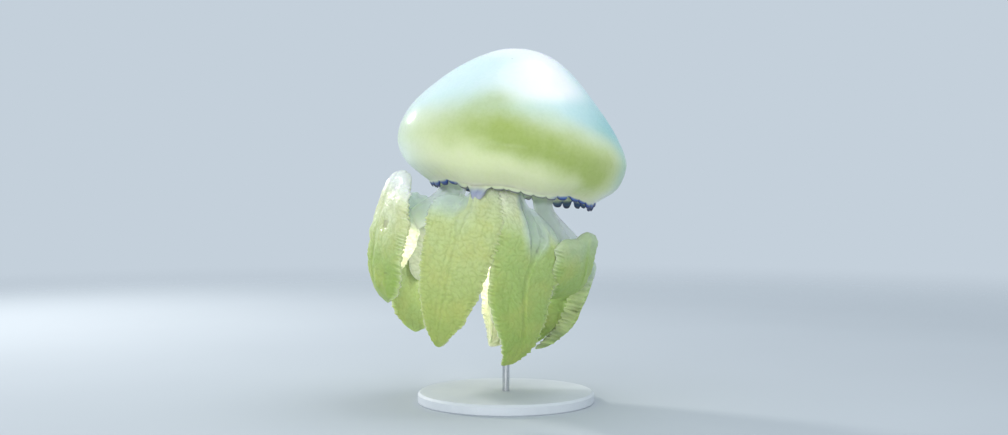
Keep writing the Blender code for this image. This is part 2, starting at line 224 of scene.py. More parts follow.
def sample(field, x, y):
    """The field at x, y in mm, wrapped and interpolated."""
    x, y = np.broadcast_arrays(x / CELL, y / CELL)
    left, low = np.floor(x).astype(int), np.floor(y).astype(int)
    fx, fy = x - left, y - low
    x0, x1, y0, y1 = left % FIELD, (left + 1) % FIELD, low % FIELD, (low + 1) % FIELD
    lower = field[y0, x0] * (1 - fx) + field[y0, x1] * fx
    upper = field[y1, x0] * (1 - fx) + field[y1, x1] * fx
    return lower * (1 - fy) + upper * fy


FRILLS = 0.55 * lumps(12.0, 10.0, 11) + 0.45 * lumps(5.4, 5.0, 12)
CREASES = 1 - lumps(22.0, 120.0, 13)
SOFT = soft_noise(14, 14, 21)
STREAK = soft_noise(9, 42, 22)


# ---- meshes

def grid_faces(rows, columns):
    """Quads of a grid of rows of closed rings."""
    row = np.arange(rows - 1)[:, None] * columns
    column = np.arange(columns)[None, :]
    after = (column + 1) % columns
    quads = np.stack([row + column, row + after, row + columns + after, row + columns + column], -1)
    return quads.reshape(-1, 4)


def grid_map(rows, columns, window):
    """Where each corner of grid_faces lies in a window of the flat map."""
    low_u, high_u = window
    u = low_u + (high_u - low_u) * np.arange(columns + 1) / columns
    v = np.linspace(*RING_SPAN, rows)
    corner = np.stack(np.meshgrid(u, v), -1)
    near, far = corner[:-1], corner[1:]
    quads = np.stack([near[:, :-1], near[:, 1:], far[:, 1:], far[:, :-1]], -2)
    return quads.reshape(-1, 4, 2)


def placed(name, data):
    """A new object in the scene."""
    made = bpy.data.objects.new(name, data)
    bpy.context.scene.collection.objects.link(made)
    return made


# places along the flat map where a tube's rings and its closed ends lie
RING_SPAN = (0.01, 0.99)
END_SPANS = ((0.01, 0.002), (0.99, 0.998))


class Body:
    """Points, faces, marks and flat map of a mesh put together from several surfaces."""

    def __init__(self):
        self.points, self.quads, self.triangles, self.marks = [], [], [], {}
        self.quad_maps, self.triangle_maps = [], []
        self.count = 0

    def add(self, points, quads, triangles, marks, quad_map=None, triangle_map=None):
        self.points.append(points)
        self.quads.append(quads + self.count)
        self.triangles.append(triangles + self.count)
        for name in sorted(set(self.marks) | set(marks)):
            before = self.marks.setdefault(name, [np.zeros(self.count)])
            before.append(np.broadcast_to(np.asarray(marks.get(name, 0.0), float), len(points)))
        if quad_map is not None:
            self.quad_maps.append(quad_map)
            self.triangle_maps.append(triangle_map)
        self.count += len(points)

    def make(self, name):
        points = np.vstack(self.points)
        quads, triangles = np.vstack(self.quads), np.vstack(self.triangles)
        mesh = bpy.data.meshes.new(name)
        mesh.vertices.add(len(points))
        mesh.vertices.foreach_set("co", points.astype(np.float32).ravel())
        loops = np.concatenate([quads.ravel(), triangles.ravel()])
        mesh.loops.add(len(loops))
        mesh.loops.foreach_set("vertex_index", loops.astype(np.int32))
        total = np.repeat((4, 3), (len(quads), len(triangles)))
        mesh.polygons.add(len(total))
        mesh.polygons.foreach_set("loop_start", (np.cumsum(total) - total).astype(np.int32))
        mesh.update(calc_edges=True)
        for mark, values in self.marks.items():
            layer = mesh.attributes.new(mark, "FLOAT", "POINT")
            layer.data.foreach_set("value", np.concatenate(values).astype(np.float32))
        if self.quad_maps:
            maps = (self.quad_maps, self.triangle_maps)
            flat = np.vstack([np.vstack(part).reshape(-1, 2) for part in maps])
            mesh.uv_layers.new(name="OFBake").uv.foreach_set("vector", flat.astype(np.float32).ravel())
        mesh.validate()
        mesh.shade_smooth()
        return placed(name, mesh)


NO_TRIANGLES = np.zeros((0, 3), int)


def capped(points, marks, body, window=None):
    """Adds a tube of closed rings to a body and closes both ends with fans."""
    rows, columns = points.shape[:2]
    flat = points.reshape(-1, 3)
    poles = np.stack([points[0].mean(0), points[-1].mean(0)])
    index = np.arange(columns)
    after = (index + 1) % columns
    last = (rows - 1) * columns
    first_fan = np.stack([after, index, np.full(columns, rows * columns)], -1)
    last_fan = np.stack([last + index, last + after, np.full(columns, rows * columns + 1)], -1)
    spread = {}
    for name, value in marks.items():
        value = np.broadcast_to(value, (rows, columns))
        spread[name] = np.concatenate([value.ravel(), [value[0].mean(), value[-1].mean()]])
    maps = []
    if window:
        low_u, high_u = window
        u = low_u + (high_u - low_u) * np.arange(columns + 1) / columns
        ends = []
        for edge, pole in END_SPANS:
            near = np.stack([u[:-1], np.full(columns, edge)], -1)
            far = np.stack([u[1:], np.full(columns, edge)], -1)
            top = np.stack([(u[:-1] + u[1:]) / 2, np.full(columns, pole)], -1)
            ends.append(np.stack([far, near, top] if edge < 0.5 else [near, far, top], 1))
        maps = [grid_map(rows, columns, window), np.vstack(ends)]
    fans = np.vstack([first_fan, last_fan])
    body.add(np.vstack([flat, poles]), grid_faces(rows, columns), fans, spread, *maps)


def pressed(points, marks, body, window=None):
    """Adds a flat tube, with front and back halves of each ring alike, and zips both ends shut."""
    rows, columns = points.shape[:2]
    near = np.arange(columns // 2 - 1)
    zip_faces = np.stack([near, columns - 1 - near, columns - 2 - near, near + 1], -1)
    end = (rows - 1) * columns + zip_faces[:, ::-1]
    quads = np.vstack([grid_faces(rows, columns), zip_faces, end])
    marks = {name: np.broadcast_to(value, (rows, columns)).ravel() for name, value in marks.items()}
    maps = []
    if window:
        shut = []
        for edge, fold in END_SPANS:
            u = window[0] + (window[1] - window[0]) * np.arange(columns // 2) / columns
            a, b = u[:-1], u[1:]
            places = ((a, edge), (a, fold), (b, fold), (b, edge))
            corners = [np.stack([u, np.full_like(u, v)], -1) for u, v in places]
            shut.append(np.stack(corners if edge < 0.5 else corners[::-1], 1))
        maps = [np.vstack([grid_map(rows, columns, window)] + shut), np.zeros((0, 3, 2))]
    body.add(points.reshape(-1, 3), quads, NO_TRIANGLES, marks, *maps)


def normals(points):
    """Unit normals of a grid of closed rings."""
    along = np.gradient(points, axis=0)
    around = (np.roll(points, -1, 1) - np.roll(points, 1, 1)) / 2
    normal = np.cross(around, along)
    return normal / np.maximum(np.linalg.norm(normal, axis=-1, keepdims=True), 1e-9)


def outward(points):
    """Unit normals of a grid of closed rings, turned away from the rings' middles."""
    normal = normals(points)
    middle = points.mean(1, keepdims=True)
    return normal * np.sign(((points - middle) * normal).sum(-1).mean())


# ---- the bell and its lappets

def bell_lean(height):
    above = -FULL_FLANK * np.sin(np.pi * height / BELL_TOP)
    below = RIM_SHIFT * (height / RIM_HEIGHT) ** 2
    return np.where(height < 0, below, above)


def bell_place(azimuth, radius, height):
    share = ramp(-height, -WAVE_TOP, -RIM_HEIGHT)
    lift = WAVE * share * np.cos(np.radians(OCTANTS * (azimuth - FIRST_NOTCH)))
    points = polar(azimuth, radius, height + lift)
    points[..., 0] += bell_lean(height)
    return points


def lappet_shape(azimuth):
    """(drop in mm, place across the lappet from 0 to 1, lappet number) at an azimuth."""
    turn = (azimuth - FIRST_NOTCH) % 360.0
    octant, rest = np.divmod(turn, 360.0 / OCTANTS)
    span = 360.0 / OCTANTS - 2 * NOTCH_HALF
    place = np.clip((rest - NOTCH_HALF) / span, 0.0, 0.99999) * LAPPETS
    lappet, share = np.divmod(place, 1.0)
    number = octant * LAPPETS + lappet
    curl = 1.0 - LAPPET_CURL * np.cos(np.radians(azimuth))
    size = 1.0 + 0.3 * np.sin(2.1 * octant + 1.9 * lappet - 0.9)
    tongue = (1 - np.abs(2 * share - 1) ** 3.4) ** 0.7
    return LAPPET_WEB + LAPPET_DROP * curl * size * tongue, share, number


LAPPET_COLUMNS = 600
LAPPET_STATIONS = 9
LAPPET_EDGE_HALF = 0.95
LAPPET_TIP_HALF = 0.42
EDGE_RADIUS = (BELL_OUTER[-1][0] + BELL_INNER[0][0]) / 2
# the one long lobe at the front left of the margin
LOBE_AZIMUTH = -24.2
LOBE_HALF = 5.4
LOBE_DROP = 12.0
LOBE_TUCK = 11.0


def bell_surface(body):
    """The bell as one closed surface: outside, lappets, inside and ceiling."""
    azimuth = (np.arange(LAPPET_COLUMNS) + 0.5) * 360.0 / LAPPET_COLUMNS
    signed = (azimuth + 180.0) % 360.0 - 180.0
    outer = smooth_path(BELL_OUTER, 6)[1:-1]
    inner = smooth_path(BELL_INNER, 5)[1:]
    drop, share, number = lappet_shape(azimuth)
    lobe = np.exp(-(np.abs(signed - LOBE_AZIMUTH) / LOBE_HALF) ** 4)
    lobe_side = hill(signed, LOBE_AZIMUTH - 4.7, 1.0)
    hidden = hill(np.abs(signed), 180, 24)
    drop = np.maximum(drop * (1 - 0.6 * hidden) + LOBE_DROP * lobe, 5.0 * hill(signed, -5, 3))
    rows, marks = [], {"rim": [], "edge": [], "under": []}

    def row(radius, height, rim, edge, under):
        rows.append(bell_place(azimuth, radius, height))
        for name, value in (("rim", rim), ("edge", edge), ("under", under)):
            marks[name].append(np.broadcast_to(value, azimuth.shape))

    cleft = np.abs(2 * share - 1) ** 6
    for radius, height in outer:
        near = ramp(-height, 22, 46)
        inset = 0.75 * cleft * near ** 1.5
        row(radius - inset, np.full_like(azimuth, height), 0.0, 0.0, 0.0)
    flare = 0.55 * np.sin(number * 2.7) + 0.25
    for side in (1, -1):
        steps = np.linspace(0, 1, LAPPET_STATIONS)
        for step in steps if side > 0 else steps[::-1]:
            half = LAPPET_EDGE_HALF * (1 - step) + LAPPET_TIP_HALF * step
            half = side * half * math.sqrt(max(0.0, 1 - step ** 6)) + 0.02 * side
            tuck = (0.16 * step + 0.24 * step ** 2) * drop * (1 - lobe) - LOBE_TUCK * lobe * step
            cup = 0.9 * step * (share - 0.5) ** 2 * 4
            radius = EDGE_RADIUS - tuck + half + flare * step * 1.2 - cup
            height = RIM_HEIGHT - 0.2 - drop * step
            row(radius, height, step ** 0.7, step, 0.0 if side > 0 else 0.35)
    for radius, height in inner:
        fold = 0.35 * np.sin(radius * 1.9) * ramp(radius, 60, 80)
        furrow = 0.4 * np.abs(np.sin(np.radians(azimuth * 24)))
        row(radius + fold - furrow, np.full_like(azimuth, height), 0.0, 0.0, 1.0)

    points = np.stack(rows)
    local_height = points[..., 2]
    masks = bell_marks(points)
    masks.update({name: np.stack(values) for name, values in marks.items()})
    masks["lobe"] = masks["rim"] * lobe * (1 - lobe_side)
    masks["edge"] = np.maximum(masks["edge"], masks["rim"] * lobe_side)
    facing = 1 - ramp(signed, -46, -34) * (1 - ramp(signed, 22, 34))
    stained = np.maximum(0.2 + 0.8 * facing * (1 - hidden), lobe)
    masks["stained"] = np.broadcast_to(stained, masks["rim"].shape)
    # painted shade: the margin's inner face darkened blue towards the front
    masks["bruise"] = facing * (1 - hidden) * masks["under"] * (1 - ramp(local_height, -44, -22))
    away = 0.25 * sample(SOFT, points[..., 0] * 1.3, points[..., 1] * 1.3 + local_height)
    shift = points - np.array([0, 0, 10.0])
    shift /= np.linalg.norm(shift, axis=-1, keepdims=True)
    points = points + shift * (away * (1 - masks["under"]) * (1 - masks["rim"]))[..., None]
    capped(to_world(points, BELL), masks, body)


# middle of the green band, as (azimuth, height)
BAND_MIDDLE = (
    (-180, -2), (-90, 0), (-60, 2), (-40, 6), (-20, 9), (-4, 5),
    (14, -3), (39, -19), (60, -22), (100, -16), (180, -2),
)


def bell_marks(points):
    """Soft colour masks of the bell, by place about its axis, with painted light and shade among them.
    """
    x, y, height = points[..., 0], points[..., 1], points[..., 2]
    azimuth = np.degrees(np.arctan2(x, -y))
    wobble = 4.0 * sample(SOFT, azimuth * 1.2, height * 0.8)
    path = smooth_path(BAND_MIDDLE, 8)
    centre = np.interp(azimuth, path[:, 0], path[:, 1]) + wobble
    # the green band and blob: the organs seen through the bell with painted shade, strongest towards the
    # front
    strength = 0.3 + 0.66 * ramp(azimuth, -52, -6) * (1 - ramp(azimuth, 46, 72))
    lower = np.clip((centre - height) / 18.0, 0, None)
    upper = np.clip((height - centre) / 36.0, 0, None)
    band = strength * np.exp(-lower ** 2.6 - upper ** 2.4)
    blob = 0.3 * hill(azimuth, -15, 13) * hill(height, 45, 13)
    # painted sunlight: white over the crown and in a patch on the upper right flank
    crown = ramp(height, 88, 113)
    snow = hill(azimuth, 24, 34) * ramp(height - 0.35 * azimuth, 36, 56) * (1 - crown) + 0.8 * crown
    # painted light shining through the lower wall: a pale lower band, strongest towards the front
    facing = ramp(azimuth, -74, -34) * (1 - ramp(azimuth, 52, 78))
    pale = (1 - ramp(height, -4, 34)) * (0.35 + 0.65 * facing)
    # the bluish upper part and left and right edges: the bell's own bluish tint, deepened as painted
    # see-through light
    sides = 1.2 * hill(azimuth, 80, 36) * ramp(height, -48, -6) + hill(azimuth, -86, 28)
    cool = ramp(height, 14, 50) * (1 - 0.5 * snow) + sides
    # painted shade with see-through tint: darker teal on the right flank
    right = 0.9 * hill(azimuth, 80, 40) * (1 - 0.6 * ramp(height, 30, 80)) * (1 - crown)
    return {"band": np.clip(band + blob, 0, 1), "snow": np.clip(snow, 0, 1), "low": pale,
            "cool": np.clip(cool, 0, 1), "right": right}


# ---- arms

def nearest_turn(angle, reference):
    return reference + (angle - reference + 180.0) % 360.0 - 180.0


def arm_azimuth(index, depth):
    arm = ARMS[index % len(ARMS)]
    root = FIRST_ROOT + ROOT_SPACING * index
    shoulder = nearest_turn(arm[SHOULDER], root)
    tip = nearest_turn(arm[TIP], shoulder)
    to_shoulder = ramp(depth, ROOT_DEPTH, SHOULDER_DEPTH)
    to_tip = ramp(depth, arm[LENGTH] * arm[BEND], arm[LENGTH])
    return root + to_shoulder * (shoulder - root) + to_tip * (tip - shoulder)


def crest_radius(arm, depth):
    flare = arm[FLARE] * (1 - ramp(depth, -14.0, 32.0))
    return arm[CREST] - flare - TIP_INSET * (np.maximum(depth, 0.0) / arm[LENGTH]) ** 6


def groove(arm, depth):
    return GROOVE_LOW + (GROOVE_TOP * arm[BARE] - GROOVE_LOW) * (1 - ramp(depth, *GROOVE_CLOSE))


def reach(index, side, depth):
    arm = ARMS[index]
    own = arm_azimuth(index, depth)
    other = nearest_turn(arm_azimuth(index + side, depth), own + side * ROOT_SPACING)
    room = np.abs(other - own) / 2 - SECTOR_GAP
    half, full = (arm[LEFT_HALF], arm[LEFT_FULL]) if side < 0 else (arm[RIGHT_HALF], arm[RIGHT_FULL])
    share = np.clip(np.maximum(depth, 0.0) / arm[LENGTH], 0, 1)
    width = half * (1 - share ** full) ** 0.8 + TIP_HALF
    return np.minimum(room, np.degrees(width / crest_radius(arm, depth)))


COAT = 1.6
EDGE_OUT = 1.04
EDGE_FRONT = 3.2
# how deep a leaf's inner side lies at the middle and at the free edge, in mm, and for one arm
# its left and right edges on their own
BACK = 16.5
BACK_EDGE = 6.4
BACK_EDGES = {3: (23.0, 6.4)}
CREASE_WIDE = 1.6
CREASE_DEEP = 1.8
GROOVE_FLOOR = 11.5
TOP_BAND = 7.0
TIP_BAND = 9.0
CORE_SET = 2.6
CORE_SHARE = 0.86
LEAF_ACROSS = 92
TOP_ROUND = (-4.0, 10.0)

# how far below its top each arm fades from clear jelly, and how clear it is left and right
FADE_DEPTH = (34, 34, 34, 34, 34, 34, 80, 34)
FADES = (
    (1.0, 0.25), (0.25, 1.0), (0.3, 0.3), (0.7, 0.7),
    (0.7, 0.7), (0.7, 0.7), (1.0, 1.0), (0.3, 0.3),
)
# share by which a leaf's edges reach over into the next one, left and right, how much of that its
# upper part has, and the depths between which it grows and ends
MEETS = {
    0: (0.0, 0.12, 1.0, -90, -80, 48, 80), 1: (0.1, 0.0, 1.0, -90, -80, 48, 80),
    2: (1.0, 0.0, 0.45, 36, 66, 200, 240),
}
# share by which the edges of the two front arms draw back where a slit parts them
SLIT = {0: (0.0, 0.045), 1: (0.045, 0.0)}
# depths between which each leaf's painted sunlight fades
SUNLIT = ((-12, 36), (-8, 42), (10, 110), (10, 110), (60, 160), (60, 160), (90, 170), (10, 110))
# how strongly each arm is ribbed lengthwise, and how lumpy it is, in mm
RIBS = (0.5, 0.5, 0.4, 0.3, 0.8, 0.8, 0.5, 0.25)
LUMPS = (0.7, 0.7, 0.7, 0.7, 0.7, 0.7, 0.9, 1.8)
# how pale each arm is from painted sunlight, how green, and how white its top is from painted sunlight
PAINTED_SUN_PALE = (0.55, 1.0, 0.1, 0.3, 1.0, 0.9, 0.4, 1.0)
GREEN = (0.1, 0.65, 0.85, 0.9, 0.0, 0.0, 0.8, 0.6)
PAINTED_SUN_TOPS = {4: 0.8, 7: 0.9}
# how far the corners of its top are rounded, left and right, in mm
CORNERS = ((3, 2), (2, 14), (8, 0), (10, 10), (10, 10), (10, 10), (12, 12), (9, 9))


def level(value):
    """0 to 1 to a quarter-circle's rise."""
    value = np.clip(value, 0.02, 1)
    return np.sqrt(value * (2 - value))


class Leaf:
    """An arm's two outer wings as one broad leaf, from a free edge over the groove to the other."""

    def __init__(self, index, spacing):
        self.arm, self.index = ARMS[index], index
        half_count = int(LEAF_ACROSS / spacing)
        side_u = np.linspace(-1, 1, half_count)
        self.u = np.concatenate([side_u, side_u[::-1]])[None, :]
        self.front = np.concatenate([np.ones(half_count), np.zeros(half_count)])[None, :]
        self.v = np.abs(self.u)
        left_top, right_top = self.arm[LEFT_TOP], self.arm[RIGHT_TOP]
        over = ramp(self.u, -0.25, 0.25)
        corner = np.where(self.u < 0, *CORNERS[index]) * self.v ** 4
        uneven = 1.3 * sample(SOFT, self.u * 40.0, 30.0 * index)
        self.top = left_top * (1 - over) + right_top * over + corner + uneven
        rows = int((self.arm[LENGTH] - min(left_top, right_top)) / spacing)
        share = np.linspace(0, 1, rows)[:, None]
        self.depth = self.top + share * (self.arm[LENGTH] - self.top)
        self.below = self.depth - self.top

    def sided(self, left, right):
        return np.where(self.u < 0, left, right)

    def thickness(self):
        share = np.maximum(self.depth, 0.0) / self.arm[LENGTH]
        rounded = 0.5 + 0.5 * ramp(self.below, *TOP_ROUND)
        ends = level(self.below / TOP_BAND) * level((self.arm[LENGTH] - self.depth) / TIP_BAND)
        return (1 - 0.6 * share ** 3) * rounded * ends

    def half_angle(self):
        """From the middle line to the free edge, in degrees."""
        arm, depth = self.arm, self.depth
        start = groove(arm, depth)
        rounded = 0.5 + 0.5 * ramp(self.below, *TOP_ROUND)
        spread = arm[TOP_SHARE] + (1 - arm[TOP_SHARE]) * ramp(self.below, 0.0, WING_SPREAD)
        left, right, high, *spans = MEETS.get(self.index, (0, 0, 0, 0, 1, 2, 3))
        grown = high + (1 - high) * ramp(depth, *spans[:2])
        meets = self.sided(left, right) * grown * (1 - ramp(depth, *spans[2:]))
        gap = ramp(depth, 44, 64) * (1 - ramp(depth, 76, 100))
        slit = self.sided(*SLIT.get(self.index, (0.0, 0.0))) * gap
        wide = (0.55 + 0.45 * rounded) * spread * (EDGE_OUT + meets - slit)
        angles = [start + (reach(self.index, side, depth) - start) * wide for side in (-1, 1)]
        return self.sided(*angles)

    def surface(self, frilled):
        """World points of the leaf and its marks."""
        arm, index, depth, v = self.arm, self.index, self.depth, self.v
        half = self.half_angle()
        mm = crest_radius(arm, depth) * math.pi / 180.0
        opened = 1 - ramp(depth, *GROOVE_CLOSE)
        bare = opened * max(0.0, 1.6 * arm[BARE] - 0.6)
        wall = groove(arm, depth) / half
        crease_end = wall + CREASE_WIDE / (half * mm) * 2
        dip = CREASE_DEEP + (GROOVE_FLOOR - CREASE_DEEP) * bare
        dip = dip * (1 - ramp(v, 0.7 * wall, crease_end))
        front = EDGE_FRONT * np.clip((v - 0.68) / 0.32, 0, 1) ** 2 + dip
        thin = self.sided(*BACK_EDGES.get(index, (BACK_EDGE, BACK_EDGE)))
        back = BACK - (BACK - thin) * np.clip((v - 0.3) / 0.7, 0, 1) ** 1.4
        if not frilled:
            front, back = front + CORE_SET, np.maximum(back - CORE_SET, front + CORE_SET + 0.5)
            v = v * CORE_SHARE
        inward = np.where(self.front > 0, front, back)
        offset = 61.0 * index
        phase = depth / 6.8 + 1.1 * sample(SOFT, depth * 0.8, offset + 90.0 * (self.u > 0))
        edge = ramp(v, 0.74, 1.0)
        grown = ramp(self.below, 2, 16) * ramp(arm[LENGTH] - depth, 0, 8)
        if frilled:
            scallop = 0.8 * np.abs(np.sin(math.pi * phase)) - 0.5
            notch = 1.7 * sample(SOFT, depth * 1.7, offset + 200.0 * (self.u > 0))
            half = half + edge * grown * (scallop + notch) / mm
        middle = WING_DEEP / 2
        radius = crest_radius(arm, depth) - middle - (inward - middle) * self.thickness()
        azimuth = arm_azimuth(index, depth) + np.sign(self.u) * v * half
        points = polar(azimuth, radius, -depth)
        ridge, fold = np.zeros(()), np.zeros(())
        if frilled:
            across = self.u * half * mm + offset + 130.0 * (1 - self.front)
            down = depth + 17.0 * index
            ridge = sample(FRILLS, across, down)
            fold = sample(CREASES, across, down) ** 3 * grown
            coat = 0.5 * COAT * (0.3 + 0.7 * grown) * ramp(v, 0.3 * wall, wall + 0.04)
            fold = fold * RIBS[index]
            broad = RIBS[index] * sample(STREAK, across, down)
            broad = broad + LUMPS[index] * sample(SOFT, across, down)
            lift = (ridge - 0.7) * coat + (broad - 0.5 * fold) * grown * (1 - 0.6 * edge)
            points = points + outward(points) * lift[..., None]
            wave = 1.2 * np.sin(TURN * phase) + 0.6 * np.sin(TURN * depth / 3.5 + offset)
            ruffle = edge * grown * wave
            points = points + polar(azimuth, 1.0, 0.0) * ruffle[..., None]
        fade = self.sided(*FADES[index])
        faded = fade * (1 - ramp(self.below, 2, FADE_DEPTH[index]))
        clear = np.maximum((1 - ramp(v, wall, wall + 0.3)) * bare, faded)
        # painted sunlight: the pale mark on the leaf's upper part and the white top of arms 5 and 8;
        # painted shade: the valley and crease marks; the inside mark is cream partly brightened as
        # painted sunlight
        marks = {
            "flesh": 1.0, "valley": 1 - ridge, "crease": fold, "bare": clear,
            "inside": INSIDE[index] * (1 - self.front),
            "down": np.clip(depth / arm[LENGTH], 0, 1), "border": ramp(v, 0.86, 1.0),
            "green": GREEN[index],
            "pale": PAINTED_SUN_PALE[index] * (1 - ramp(depth, *SUNLIT[index])),
            "snow": PAINTED_SUN_TOPS.get(index, 0.0) * (1 - ramp(self.below, 8, 34)),
        }
        return in_arms(points), marks


def shaft_sections(index, depth):
    """(half angle, radius) rows of the arm's core at each depth, outer to inner."""
    arm = ARMS[index]
    crest = crest_radius(arm, depth)
    share = np.maximum(depth, 0) / arm[LENGTH]
    half = np.maximum(groove(arm, depth) - 0.45, RIDGE_HALF)
    sink = 8.0 + 9.6 * ramp(depth, *RIDGE_SINK)
    deep = ARM_DEEP + ARM_DEEP_EXTRA * np.sin(math.pi * share ** 0.8)
    tip = 1 - 0.6 * share ** 4
    inner = np.maximum(half, INNER_WING * (1 - 0.5 * share ** 3))
    back = crest - WING_DEEP - 2.0
    reach_in = deep - WING_DEEP + 4.0
    halves = np.stack([half * tip, half * tip, inner * tip, inner * tip / 2], -1)
    radii = np.stack([crest - sink, back, back - 5.0 * tip, back - reach_in * tip], -1)
    return halves, radii


def core_rings(index, depth, halves, radii, columns):
    """Closed rings of points through an arm's sections, with the tip's inner side raised."""
    arm = ARMS[index]
    middle = arm_azimuth(index, depth)
    azimuth = np.concatenate([middle + halves, middle - halves[:, ::-1]], 1)
    radius = np.concatenate([radii, radii[:, ::-1]], 1)
    rise = TIP_RISE * (np.maximum(depth, 0) / arm[LENGTH]) ** 6 / ARM_DEEP
    ring = polar(azimuth, radius, rise * (radii[:, :1] - radius) - depth)
    return np.stack([closed_path(loop, columns) for loop in ring])


def shaft_core(index, body):
    """The arm's clear core, from its root on the mouth column to the end of its inner wing."""
    arm = ARMS[index]
    sag = STALK_SAG * (1 - math.sin(math.radians(arm[SHOULDER]))) / 2
    depths, halves, radii = [], [], []
    for depth, inner, outer, half, share in STALK:
        half *= arm[BARE] if share == 1.0 else 1.0
        depths.append(max(depth + sag * share, ROOT_DEPTH) - (6.0 if share == 0.0 else 0.0))
        halves.append([half, half, half, half / 2])
        radii.append([outer, (outer + inner) / 2, inner + 6, inner])
    levels = np.linspace(depths[-1] + 14.0, arm[LENGTH] * INNER_LOW[index] - 2.0, 12)
    more_halves, more_radii = shaft_sections(index, levels)
    path = np.concatenate([np.array(depths), levels])
    halves = np.vstack([np.array(halves), more_halves])
    radii = np.vstack([np.array(radii), more_radii])
    table = smooth_path(np.concatenate([path[:, None], halves, radii], 1), 6)
    depth, halves, radii = table[:, :1], table[:, 1:5], table[:, 5:9]
    points = core_rings(index, depth, halves, radii, CORE_ROUND)
    low = np.broadcast_to(ramp(depth, 20, 80), points.shape[:2])
    marks = {"flesh": 1.0, "bare": 1 - low, "down": low, "inside": 0.5}
    capped(in_arms(points), marks, body)


CORE_ROUND = 28
INNER_ROUND = 76.0
# how pale each arm's inner side and its inner wing are: their own cream, brightened as painted sunlight
INSIDE = (0.9, 0.9, 0.5, 0.3, 1.0, 0.9, 0.2, 1.0)
INNER_PALE = (0.9, 0.9, 0.5, 0.1, 1.0, 0.9, 1.0, 1.0)
# how far down the arm its inner wing and core come, and over how many mm the wing's end rounds off
INNER_LOW = (1.0, 0.9, 1.0, 1.0, 0.84, 1.0, 0.66, 0.8)
INNER_TAPER = 18.0
INNER_TAPERS = {3: 7.0}
# degrees added to the half width of the inner wing's root
ROOT_EXTRA = (5.0, 5.0, 6.0, 5.0, 5.0, 5.0, 5.0, 5.0)


def inner_wing(index, spacing, body, window):
    """The frilled third wing that stands inwards behind the two outer ones."""
    arm = ARMS[index]
    start = 34.0 if arm[LENGTH] > 100 else 22.0
    low = arm[LENGTH] * INNER_LOW[index]
    rows, columns = int((low - start) / spacing), int(INNER_ROUND / spacing)
    depth = np.linspace(start, low - 1.0, rows)[:, None]
    halves, radii = (part[:, 1:] for part in shaft_sections(index, depth[:, 0]))
    halves = halves + ROOT_EXTRA[index] * np.array([1.0, 0.7, 0.0])
    grown = ramp(depth - start, 0, 26)
    last = level((low - depth) / INNER_TAPERS.get(index, INNER_TAPER))
    middle_radius = radii.mean(1, keepdims=True)
    radii = middle_radius + (radii - middle_radius) * (0.45 + 0.55 * grown) * last
    halves = (halves * (0.4 + 0.6 * grown) + 0.8 * grown) * last
    points = core_rings(index, depth, halves, radii, columns)
    out = outward(points)
    around = np.linspace(0, INNER_ROUND, columns, endpoint=False)[None, :] + 47.0 * index
    fade = np.minimum(grown, ramp(low - depth, 2, 16))
    ridge = sample(FRILLS, around, depth + 90.0)
    broad = 1.6 * sample(STREAK, depth, around * 3.0) + 0.8 * sample(SOFT, around, depth)
    points = points + out * (((ridge - 0.45) * COAT + broad) * fade)[..., None]
    marks = {"flesh": 1.0, "valley": 1 - ridge, "inside": INNER_PALE[index], "down": depth / arm[LENGTH],
             "bare": 1 - ramp(depth - start, 2, 26), "green": GREEN[index]}
    capped(in_arms(points), marks, body, window)


def mouth_column(body):
    """The mouth column up to the bell's ceiling, fluted into four pillars."""
    turns = np.arange(COLUMN_TURNS) * 360.0 / COLUMN_TURNS
    into_arms = np.linalg.inv(ARMS_AXIS) @ BELL
    rings = [polar(turns, radius * 0.2, -depth) for depth, radius in COLUMN_LOW[:1]]
    for depth, radius in COLUMN_LOW:
        rings.append(polar(turns, radius, -depth))
    for height, radius in COLUMN_HIGH:
        lobe = COLUMN_LOBE if height < COLUMN_HIGH[-1][0] else 0.0
        fluted = radius * (1 + lobe * np.cos(np.radians(4 * turns)))
        ring = bell_place(turns, fluted, np.full(COLUMN_TURNS, float(height)))
        rings.append(ring @ into_arms[:3, :3].T + into_arms[:3, 3])
    top = rings[-1].copy()
    top[:, 2] += 5.0
    rings.append(top)
    stack = np.stack(rings)
    path = np.stack([smooth_path(stack[:, k], 5) for k in range(COLUMN_TURNS)], 1)
    capped(in_arms(path), {"flesh": 1.0, "bare": 0.3, "inside": 0.8}, body)


SCAPULET_SPREAD = 9.0
SCAPULET_TOP = -62.0
SCAPULET_LOW = -23.0
SCAPULET_DEEP = 22.0
SCAPULET_HALF = 3.2
SCAPULET_SECTION = ((0, -1), (0.6, -1.25), (1, -0.5), (1, 0.5), (0.6, 1.25), (0, 1))


def scapulet(azimuth, frilled, body, window=None):
    """A frilled plate on the mouth column."""
    rows, columns = (44, 56) if frilled else (14, 18)
    share = np.linspace(0, 1, rows)[:, None]
    depth = SCAPULET_TOP + share * (SCAPULET_LOW - SCAPULET_TOP)
    column = np.array(sorted(COLUMN_LOW), float)
    root = np.interp(depth, column[:, 0], column[:, 1]) + 0.6
    bulge = np.sin(np.pi * share)
    section = closed_path(SCAPULET_SECTION, columns)
    ends = np.clip(np.sqrt(np.clip(bulge * 2.2, 0.003, 1)), 0.05, 1)
    deep = SCAPULET_DEEP * (0.55 + 0.45 * bulge) * ends
    radius = root - (0.0 if frilled else 4.0) + section[None, :, 0] * deep
    half = SCAPULET_HALF * (0.6 + 0.4 * bulge) * ends
    turn = azimuth + np.degrees(section[None, :, 1] * half / radius)
    points = polar(turn, radius, -depth)
    out = outward(points)
    if not frilled:
        capped(in_arms(points - out * 1.0), {"flesh": 1.0, "inside": 1.0}, body)
        return
    around = np.linspace(0, 52, columns, endpoint=False)[None, :]
    ridge = sample(FRILLS, around + azimuth * 3.0, depth)
    points = points + out * ((ridge - 0.5) * 1.3)[..., None]
    marks = {"flesh": 1.0, "valley": 1 - ridge, "inside": 0.6}
    capped(in_arms(points), marks, body, window)


# ---- the skin

